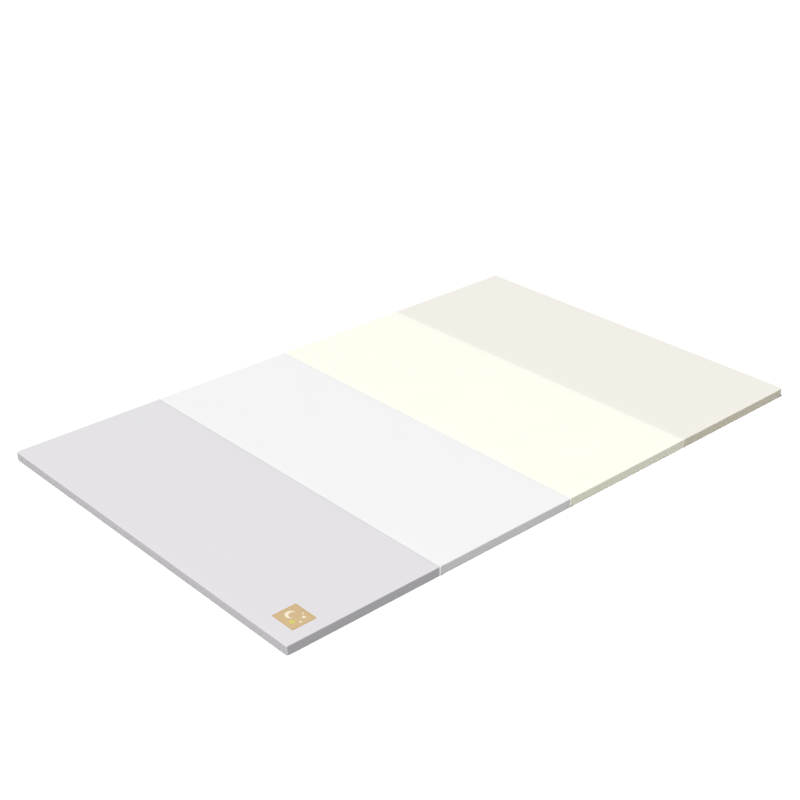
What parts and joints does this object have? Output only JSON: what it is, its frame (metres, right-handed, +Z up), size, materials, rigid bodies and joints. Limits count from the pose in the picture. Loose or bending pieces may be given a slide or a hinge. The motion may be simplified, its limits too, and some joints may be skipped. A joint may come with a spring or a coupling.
{
  "type": "folding baby play mat",
  "caption": "Flat folding floor mat for a baby: firm filled panels in pastel imitation leather, joined edge to edge by fold strips, with a sewn-on patch.",
  "frame": {"origin": "middle of the mat's outline, on the floor", "axes": "+X along the mat from the lavender panel to the beige one, +Y across it away from the long side nearest the patch, +Z up"},
  "size_m": [2.2, 1.4, 0.0313],
  "materials": {
    "cover_lavender": "matt lavender-grey imitation leather",
    "cover_white": "matt grey-white imitation leather",
    "cover_ivory": "matt ivory imitation leather",
    "cover_beige": "matt warm beige imitation leather",
    "patch_tan": "matt tan imitation leather"
  },
  "bodies": {
    "root": {"panel_lavender": "cover_lavender", "panel_white": "cover_white", "panel_ivory": "cover_ivory", "panel_beige": "cover_beige", "fold_strip_white": "cover_white", "fold_strip_ivory": "cover_ivory", "fold_strip_beige": "cover_beige", "patch": "patch_tan"}
  },
  "joints": []
}
